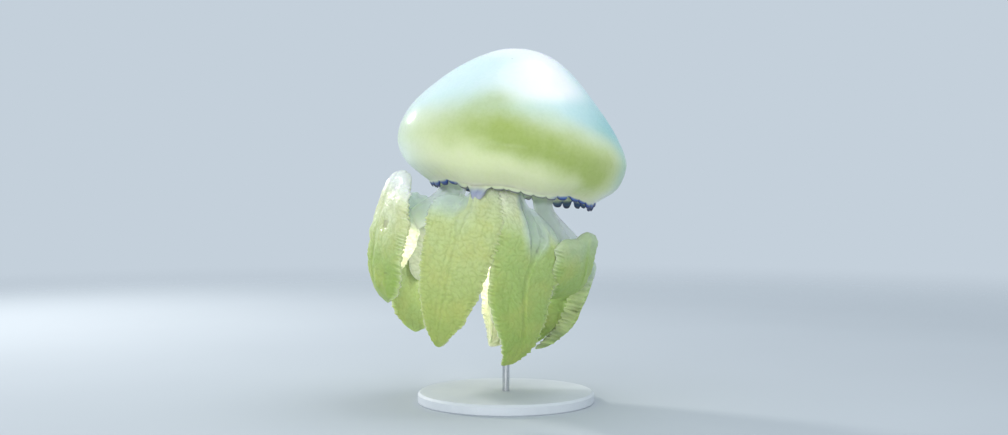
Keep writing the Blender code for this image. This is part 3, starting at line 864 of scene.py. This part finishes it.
VOXEL = 2.7 * MM
CORE_SPACING = 2.4
# a closed part of fewer faces than this is a speck
LEAST_PART = 200


def without_specks(points, quads):
    """Leaves out the specks of a few faces that fusing leaves where flesh is thin."""
    label = np.arange(len(points))
    before = None
    while before is None or (before != label).any():
        before = label.copy()
        lowest = label[quads].min(1)
        for corner in range(4):
            np.minimum.at(label, quads[:, corner], lowest)
        label = label[label]
    part = label[quads[:, 0]]
    kept = np.bincount(part, minlength=len(points))[part] >= LEAST_PART
    used, numbered = np.unique(quads[kept], return_inverse=True)
    return points[used], numbered.reshape(-1, 4)


def arms_mass():
    """Column, stalks and wing cores, fused into one closed surface."""
    rough = Body()
    mouth_column(rough)
    for index in range(len(ARMS)):
        shaft_core(index, rough)
        core = Leaf(index, CORE_SPACING)
        pressed(*core.surface(False), rough)
        for side in (-1, 1):
            scapulet(FIRST_ROOT + ROOT_SPACING * index + side * SCAPULET_SPREAD, False, rough)
    made = rough.make("rough")
    values = {name: np.concatenate(parts) for name, parts in rough.marks.items()}
    source = np.vstack(rough.points)
    remesh = made.modifiers.new("fuse", "REMESH")
    remesh.mode = "VOXEL"
    remesh.voxel_size = VOXEL
    smooth = made.modifiers.new("soften", "CORRECTIVE_SMOOTH")
    smooth.iterations = 3
    smooth.use_only_smooth = True
    graph = bpy.context.evaluated_depsgraph_get()
    fused = bpy.data.meshes.new_from_object(made.evaluated_get(graph))
    bpy.data.objects.remove(made)
    points = np.empty(len(fused.vertices) * 3, np.float32)
    fused.vertices.foreach_get("co", points)
    points = points.reshape(-1, 3).astype(float)
    quads = np.empty(len(fused.polygons) * 4, np.int32)
    fused.polygons.foreach_get("vertices", quads)
    points, quads = without_specks(points, quads.reshape(-1, 4))
    return points, quads, source, values


def relaxed(points, quads, rounds):
    """Points after simple smoothing along the edges."""
    edges = np.concatenate([quads[:, [0, 1]], quads[:, [1, 2]], quads[:, [2, 3]], quads[:, [3, 0]]])
    weight = np.bincount(edges.ravel(), minlength=len(points))[:, None]
    for _ in range(rounds):
        total = np.zeros_like(points)
        for k in range(points.shape[1]):
            total[:, k] = (np.bincount(edges[:, 0], points[edges[:, 1], k], len(points))
                           + np.bincount(edges[:, 1], points[edges[:, 0], k], len(points)))
        points = points * 0.4 + 0.6 * total / np.maximum(weight, 1)
    return points


def skin_arm_marks(points, source, values):
    """Carries the marks of the nearest rough point to each fused point."""
    tree = KDTree(len(source))
    for i, point in enumerate(source):
        tree.insert(point, i)
    tree.balance()
    nearest = np.array([tree.find(point)[1] for point in points])
    return {name: value[nearest] for name, value in values.items()}


def make_skin():
    body = Body()
    bell_surface(body)
    points, quads, source, values = arms_mass()
    points = relaxed(points, quads, 4)
    marks = skin_arm_marks(points, source, values)
    blended = relaxed(np.stack(list(marks.values()), -1), quads, 5)
    body.add(points, quads, NO_TRIANGLES, dict(zip(marks, blended.T)))
    return body.make("jelly_skin")


# ---- materials

def srgb(red, green, blue):
    """A colour from its 8-bit display values."""
    parts = []
    for value in (red, green, blue):
        value /= 255.0
        parts.append(value / 12.92 if value <= 0.04045 else ((value + 0.055) / 1.055) ** 2.4)
    return (*parts, 1.0)


class Tree:
    """Short calls for putting a material's nodes together."""

    def __init__(self, name):
        self.material = bpy.data.materials.new(name)
        self.material.use_nodes = True
        self.nodes, self.links = self.material.node_tree.nodes, self.material.node_tree.links
        self.shader = self.nodes["Principled BSDF"]
        self.place = self.nodes.new("ShaderNodeTexCoord").outputs["Object"]

    def feed(self, socket, value):
        if isinstance(value, bpy.types.NodeSocket):
            self.links.new(value, socket)
        else:
            socket.default_value = value

    def mark(self, name, share=1.0):
        node = self.nodes.new("ShaderNodeAttribute")
        node.attribute_name = name
        return node.outputs["Fac"] if share == 1.0 else self.math("MULTIPLY", node.outputs["Fac"], share)

    def layers(self, colour, *tints):
        """The colour under (share, tint) layers, one over the other."""
        for share, tint in tints:
            colour = self.mix(share, colour, srgb(*tint))
        return colour

    def math(self, kind, first, second=0.0, third=0.0, clamp=False):
        node = self.nodes.new("ShaderNodeMath")
        node.operation = kind
        node.use_clamp = clamp
        for socket, value in zip(node.inputs, (first, second, third)):
            self.feed(socket, value)
        return node.outputs[0]

    def spread(self, value, low, high, to_low=0.0, to_high=1.0):
        node = self.nodes.new("ShaderNodeMapRange")
        node.interpolation_type = "SMOOTHSTEP"
        for socket, part in zip(node.inputs, (value, low, high, to_low, to_high)):
            self.feed(socket, part)
        return node.outputs[0]

    def mix(self, share, first, second, kind="MIX"):
        node = self.nodes.new("ShaderNodeMix")
        node.data_type = "RGBA"
        node.blend_type = kind
        for place, value in ((0, share), (6, first), (7, second)):
            self.feed(node.inputs[place], value)
        return node.outputs[2]

    def noise(self, scale, detail=3.0, rough=0.55, place=None):
        node = self.nodes.new("ShaderNodeTexNoise")
        self.links.new(place or self.place, node.inputs["Vector"])
        for name, value in (("Scale", scale), ("Detail", detail), ("Roughness", rough)):
            node.inputs[name].default_value = value
        return node.outputs["Fac"]

    def stretched(self, x, y, z):
        node = self.nodes.new("ShaderNodeMapping")
        self.links.new(self.place, node.inputs["Vector"])
        node.inputs["Scale"].default_value = (x, y, z)
        return node.outputs["Vector"]

    def bump(self, height, distance, strength=1.0, after=None):
        node = self.nodes.new("ShaderNodeBump")
        self.feed(node.inputs["Strength"], strength)
        node.inputs["Distance"].default_value = distance
        self.links.new(height, node.inputs["Height"])
        if after is not None:
            self.links.new(after, node.inputs["Normal"])
        return node.outputs["Normal"]

    def set(self, **values):
        for name, value in values.items():
            self.feed(self.shader.inputs[name.replace("_", " ")], value)


def jelly_colour(tree):
    """The colours of bell, margin and arms, shared by the skin and the frills, with painted light and
    shade among them.
    """
    cloud = tree.noise(28.0, 4.0, 0.6)
    fine = tree.noise(260.0, 3.0, 0.6)
    speck = tree.noise(75.0, 1.0, 0.3)
    # the bell's bluish tint with painted see-through light on its upper part and edges, and painted
    # shade in dark teal on its right flank
    cool = tree.mix(tree.mark("right"), srgb(212, 234, 234), srgb(114, 184, 186))
    high = tree.mix(tree.mark("cool"), srgb(226, 236, 218), cool)
    mottled = tree.spread(cloud, 0.2, 0.7, 0.85, 1.12)
    # the pale lower band is painted light through the lower wall, the white is painted sunlight, and the
    # green band is the organs seen through with painted shade
    colour = tree.layers(
        high,
        (tree.mark("low"), (226, 233, 188)),
        (tree.mark("snow"), (250, 251, 250)),
        (tree.math("MULTIPLY", tree.mark("band"), mottled, clamp=True), (174, 190, 114)),
        (tree.spread(speck, 0.8, 0.86, 0.0, 0.6), (96, 112, 84)),
        (tree.mark("under", 0.9), (196, 212, 138)),
    )
    # the arms
    # painted sunlight: pale on the arms' upper parts, and the inner sides' own cream brightened as
    # painted sunlight
    pale = tree.math("MAXIMUM", tree.mark("pale"), tree.mark("inside"))
    leaf = tree.layers(
        tree.mix(tree.spread(tree.mark("down"), 0.1, 1.0), srgb(206, 216, 158), srgb(176, 192, 112)),
        (tree.mark("green", 0.8), (142, 178, 90)),
        (tree.math("MULTIPLY", pale, 0.85), (246, 247, 218)),
        # painted shade: darker green in the valleys between lumps and in the creases
        (tree.spread(tree.mark("valley"), 0.2, 1.0, 0.0, 0.24), (146, 162, 88)),
        (tree.spread(tree.mark("crease"), 0.3, 0.95, 0.0, 0.4), (116, 134, 62)),
        (tree.spread(cloud, 0.42, 0.72, 0.0, 0.4), (196, 196, 118)),
        (tree.mark("border", 0.35), (228, 234, 190)),
        # painted sunlight: a white top on arms 5 and 8
        (tree.mark("snow"), (250, 251, 246)),
        (tree.mark("bare"), (222, 238, 230)),
    )
    colour = tree.mix(tree.mark("flesh"), colour, leaf)
    # the margin
    rim = tree.mark("rim")
    stain = tree.spread(tree.math("ADD", rim, tree.math("MULTIPLY", cloud, 0.5)), 0.35, 0.95)
    stain = tree.math("MULTIPLY", stain, tree.mark("stained"))
    line = tree.spread(tree.mark("edge"), 0.6, 0.85, 0.0, 0.8)
    mottle = tree.spread(tree.noise(120.0), 0.4, 0.65)
    violet = tree.mix(mottle, srgb(55, 82, 156), srgb(78, 110, 178))
    colour = tree.mix(stain, colour, violet)
    # painted shade on the margin's inner face, then the dark edge line and the pale lobe
    colour = tree.layers(colour, (tree.mark("bruise"), (74, 98, 140)), (line, (58, 56, 96)),
                         (tree.mark("lobe"), (186, 188, 206)))
    deeper = tree.mix(1.0, colour, colour, "MULTIPLY")
    return tree.mix(tree.spread(fine, 0.35, 0.75, 0.0, 0.12), colour, deeper)


def flesh_material(name, roughness, coat, frilled):
    tree = Tree(name)
    colour = jelly_colour(tree)
    pore = tree.noise(900.0, 2.0, 0.5)
    skin_grain = tree.noise(340.0, 4.0, 0.6)
    opaque = tree.math("SUBTRACT", 1.0, tree.mark("bare"))
    bump = tree.bump(skin_grain, 0.0006 if frilled else 0.0001, tree.math("MULTIPLY", opaque, 0.6))
    bump = tree.bump(pore, 0.00025 if frilled else 0.00003, tree.math("MULTIPLY", opaque, 0.5), bump)
    rough = tree.spread(skin_grain, 0.3, 0.7, roughness - 0.06, roughness + 0.1)
    rough = tree.math("MULTIPLY", rough, tree.spread(tree.mark("bare"), 0.3, 1.0, 1.0, 0.4))
    tree.set(Base_Color=colour, Roughness=rough, Normal=bump, IOR=1.06)
    solid = tree.spread(tree.mark("rim"), 0.0, 0.5, 0.85, 0.1)
    tree.set(Subsurface_Weight=0.7 if frilled else solid, Subsurface_Scale=0.006 if frilled else 0.018,
             Subsurface_Radius=(0.9, 1.0, 0.75))
    tree.set(Alpha=tree.spread(tree.mark("bare"), 0.0, 1.0, 1.0, 0.4 if frilled else 0.32))
    tree.set(Coat_Weight=coat, Coat_Roughness=0.12, Coat_IOR=1.34)
    return tree.material


def lacquer_material():
    tree = Tree("satin_lacquer")
    cloud = tree.noise(7.0, 4.0, 0.55)
    speck = tree.noise(420.0, 2.0, 0.5)
    colour = tree.mix(tree.spread(cloud, 0.3, 0.7), srgb(218, 222, 226), srgb(206, 211, 216))
    peel = tree.bump(tree.noise(150.0, 2.0, 0.5), 0.00012, 0.5)
    peel = tree.bump(speck, 0.00004, 0.4, peel)
    rough = tree.spread(tree.noise(40.0, 4.0, 0.6), 0.3, 0.7, 0.55, 0.68)
    tree.set(Base_Color=colour, Roughness=rough, Normal=peel, Specular_IOR_Level=0.25)
    return tree.material


def steel_material():
    tree = Tree("brushed_steel")
    lines = tree.noise(1.0, 5.0, 0.7, place=tree.stretched(900.0, 900.0, 12.0))
    smear = tree.noise(30.0, 3.0, 0.5)
    colour = tree.mix(tree.spread(lines, 0.3, 0.7), srgb(176, 179, 183), srgb(206, 208, 211))
    brushed = tree.spread(lines, 0.3, 0.7, 0.2, 0.34)
    rough = tree.math("ADD", brushed, tree.spread(smear, 0.4, 0.8, 0.0, 0.12))
    tree.set(Base_Color=colour, Roughness=rough, Metallic=1.0, Normal=tree.bump(lines, 0.00006, 0.4))
    return tree.material


STAGE_RADIUS = 2.4
STAGE_SOLID = 0.8


def stage_material():
    """Pale matt floor, clear towards its rim."""
    tree = Tree("studio_floor")
    cloud = tree.noise(0.8, 3.0, 0.5)
    colour = tree.mix(tree.spread(cloud, 0.3, 0.7), srgb(186, 192, 197), srgb(192, 198, 203))
    far = tree.nodes.new("ShaderNodeVectorMath")
    far.operation = "LENGTH"
    tree.links.new(tree.place, far.inputs[0])
    solid = tree.spread(far.outputs["Value"], STAGE_SOLID, STAGE_RADIUS, 1.0, 0.0)
    tree.set(Base_Color=colour, Roughness=0.85, Specular_IOR_Level=0.2, Alpha=solid)
    return tree.material


# ---- putting it together

def face_outward(mesh):
    """Turns the faces of every closed part of a mesh to its outside."""
    work = bmesh.new()
    work.from_mesh(mesh)
    bmesh.ops.recalc_face_normals(work, faces=work.faces)
    work.to_mesh(mesh)
    work.free()


def finish_piece(piece, material):
    face_outward(piece.data)
    piece.data.materials.clear()
    piece.data.materials.append(material)
    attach(piece, "root")
    return piece


def make_studio():
    """A pale round floor that fades into the backdrop's even light."""
    turns = np.arange(96) * TURN / 96
    rings = [polar(np.degrees(turns), STAGE_RADIUS * share, 0.0) for share in np.linspace(0.004, 1, 24)]
    points = np.stack(rings)
    body = Body()
    body.add(points.reshape(-1, 3), grid_faces(*points.shape[:2]), NO_TRIANGLES, {})
    floor = body.make("studio_floor")
    floor.location.z = float(cad_low[2])
    floor.data.materials.append(stage_material())


def area_light(name, place, aim, size, power, colour):
    light = bpy.data.lights.new(name, "AREA")
    light.shape = "RECTANGLE"
    light.size, light.size_y = size
    light.energy = power
    light.color = colour
    lamp = placed(name, light)
    lamp.location = place
    lamp.rotation_euler = (Vector(aim) - Vector(place)).to_track_quat("-Z", "Y").to_euler()
    lamp.visible_camera = False
    if name.endswith("_glow"):
        light.spread = math.radians(GLOW_SPREAD)


GLOW_SPREAD = 110.0
MIDDLE = (0.0, 0.0, 0.26)
# name, place, aim, size, watts and colour; the glows stand among the arms, for the sun
LAMPS = (
    ("key", (-1.25, 1.2, 0.95), MIDDLE, (0.25, 0.25), 17.0, (1.0, 0.98, 0.95)),
    ("top", (0.4, 0.15, 1.5), MIDDLE, (1.0, 1.0), 6.5, (1.0, 1.0, 1.0)),
    ("front", (-1.1, -1.6, 0.8), MIDDLE, (1.6, 1.2), 9.0, (1.0, 1.0, 0.98)),
    ("low_fill", (-0.3, -2.3, 0.28), MIDDLE, (1.8, 0.5), 12.0, (1.0, 1.0, 0.97)),
    ("under_glow", (-0.03, 0.015, 0.155), (-0.06, 0.15, 0.15), (0.04, 0.04), 0.065, (1.0, 0.98, 1.0)),
    ("side_fill", (1.7, -1.7, 0.25), (0.04, 0.0, 0.12), (1.2, 0.4), 3.5, (0.98, 1.0, 0.99)),
    ("left_glow", (-0.094, -0.075, 0.172), (-0.1, 0.05, 0.16), (0.02, 0.05), 0.018, (1.0, 1.0, 0.96)),
    ("right_glow", (0.02, -0.01, 0.13), (0.08, 0.0, 0.125), (0.03, 0.03), 0.006, (0.97, 1.0, 0.98)),
)


def make_lights():
    for lamp in LAMPS:
        area_light(*lamp)
    world = bpy.data.worlds.new("studio")
    world.use_nodes = True
    back = world.node_tree.nodes["Background"]
    back.inputs["Color"].default_value = srgb(196, 208, 219)
    back.inputs["Strength"].default_value = 1.0
    bpy.context.scene.world = world


CAMERA_AIM = (-0.00226, 0.0, 0.2085)
CAMERA_DISTANCE = 1.58
CAMERA_RISE = 2.0


def make_camera():
    camera = placed("camera", bpy.data.cameras.new("camera"))
    camera.data.lens = 50.0
    camera.data.sensor_width = 36.0
    aim = Vector(CAMERA_AIM)
    rise = math.radians(CAMERA_RISE)
    back = Vector((0.0, -math.cos(rise), math.sin(rise)))
    camera.location = aim + back * CAMERA_DISTANCE
    camera.rotation_euler = (-back).to_track_quat("-Z", "Y").to_euler()
    camera.data.clip_start = 0.05
    bpy.context.scene.camera = camera


# mm between the frills' points, and each surface's part of the flat map
LEAF_SPACING = 0.7
LEAF_WINDOW = (0.01, 0.72)
INNER_SPACING = 0.85
INNER_WINDOW = (0.75, 0.99)

make_camera()
make_studio()
make_lights()

skin_material = flesh_material("jelly_skin", 0.3, 0.5, False)
frill_material = flesh_material("jelly_frills", 0.46, 0.25, True)

skin = finish_piece(make_skin(), skin_material)
flesh_nodes = [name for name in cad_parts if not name.startswith("stand_")]
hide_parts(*flesh_nodes)

for number in range(len(ARMS)):
    coat_body = Body()
    leaf = Leaf(number, LEAF_SPACING)
    pressed(*leaf.surface(True), coat_body, LEAF_WINDOW)
    inner_wing(number, INNER_SPACING, coat_body, INNER_WINDOW)
    finish_piece(coat_body.make(f"arm_{number + 1}_frills"), frill_material)

collar = Body()
plates = [(number, side) for number in range(len(ARMS)) for side in (-1, 1)]
for place, (number, side) in enumerate(plates):
    window = ((place + 0.05) / len(plates), (place + 0.95) / len(plates))
    scapulet(FIRST_ROOT + ROOT_SPACING * number + side * SCAPULET_SPREAD, True, collar, window)
finish_piece(collar.make("scapulet_frills"), frill_material)

for name, material in (("stand_base", lacquer_material()), ("stand_rod", steel_material())):
    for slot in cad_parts[name].material_slots:
        slot.material = material

view = bpy.context.scene.view_settings
view.view_transform, view.look = "Standard", "None"
